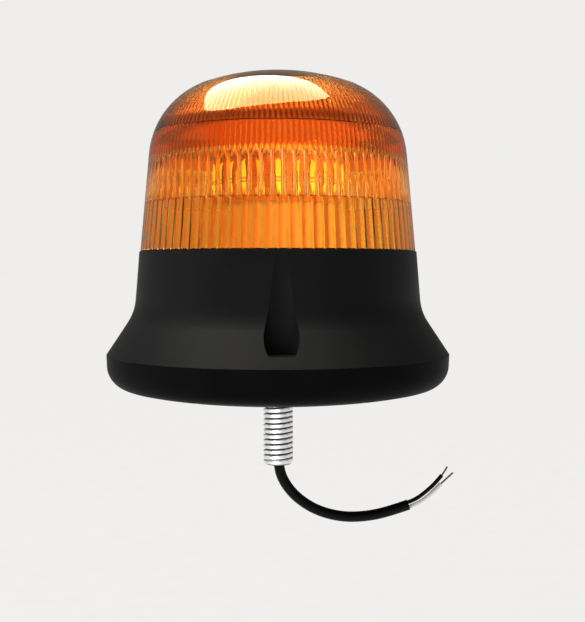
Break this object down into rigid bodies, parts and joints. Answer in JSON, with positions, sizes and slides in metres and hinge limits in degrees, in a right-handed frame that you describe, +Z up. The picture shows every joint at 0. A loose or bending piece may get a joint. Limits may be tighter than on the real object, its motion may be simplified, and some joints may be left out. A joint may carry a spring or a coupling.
{
  "type": "warning beacon",
  "caption": "Amber LED warning beacon: domed twist-off lens on a tapered black housing, with a hollow threaded fixing stud and a short supply cable.",
  "frame": {"origin": "centre of the flat mounting face under the base, on the stud's axis", "axes": "+Z up through the lens, -Z down the stud, -Y towards the front access well"},
  "size_m": [0.164, 0.16, 0.2119],
  "materials": {
    "housing_plastic": "satin moulded",
    "tray_plastic": "satin moulded",
    "seal_rubber": "matt",
    "pad_rubber": "matt foam",
    "nylon": "matt",
    "zinc_screw": "zinc plated",
    "zinc_stud": "bright zinc plated",
    "plate_steel": "pressed",
    "sheath_pvc": "satin",
    "core_black": "satin",
    "core_white": "satin",
    "deck_plastic": "satin moulded",
    "tower_aluminium": "satin",
    "strip_board": "solder resist",
    "emitter": "phosphor",
    "cap_plastic": "satin moulded",
    "circuit_board": "solder resist",
    "post_brass": "turned",
    "terminal_plastic": "moulded",
    "capacitor_sleeve": "shrunk sleeve",
    "ferrite": "sintered",
    "chip_plastic": "moulded",
    "amber_lens": "clear polished",
    "copper": "tinned strands"
  },
  "bodies": {
    "base": {"housing": "housing_plastic", "base_tray": "tray_plastic", "tray_seal": "seal_rubber", "mounting_pad": "pad_rubber", "vent_plug": "nylon", "tray_screws": "zinc_screw", "stud": "zinc_stud", "stud_seal": "seal_rubber", "clamp_plate": "plate_steel", "clamp_screws": "zinc_screw", "cable_grommet": "seal_rubber", "cable_tie": "nylon", "cable_inner": "sheath_pvc", "supply_core_black": "core_black", "supply_core_white": "core_white", "deck": "deck_plastic", "deck_screws": "zinc_screw", "light_tower": "tower_aluminium", "tower_screws": "zinc_screw", "strip_board": "strip_board", "light_strips": "emitter", "tower_cap": "cap_plastic", "cap_screws": "zinc_screw", "head_leads": "core_black", "driver_board": "circuit_board", "board_posts": "post_brass", "board_screws": "zinc_screw", "terminal_block": "terminal_plastic", "terminal_screws": "zinc_screw", "capacitors": "capacitor_sleeve", "inductor": "ferrite", "driver_chip": "chip_plastic", "surge_diode": "chip_plastic", "lens_gasket": "seal_rubber", "cable_sheath": "sheath_pvc", "black_core": "core_black", "white_core": "core_white", "black_strands": "copper", "white_strands": "copper"},
    "lens": {"lens": "amber_lens"}
  },
  "joints": [
    {"name": "lens_twist", "type": "hinge", "parent": "base", "child": "lens", "pos_m": [0, 0, 0.0664], "axis": [0, 0, 1], "range_deg": [0, 30]}
  ]
}
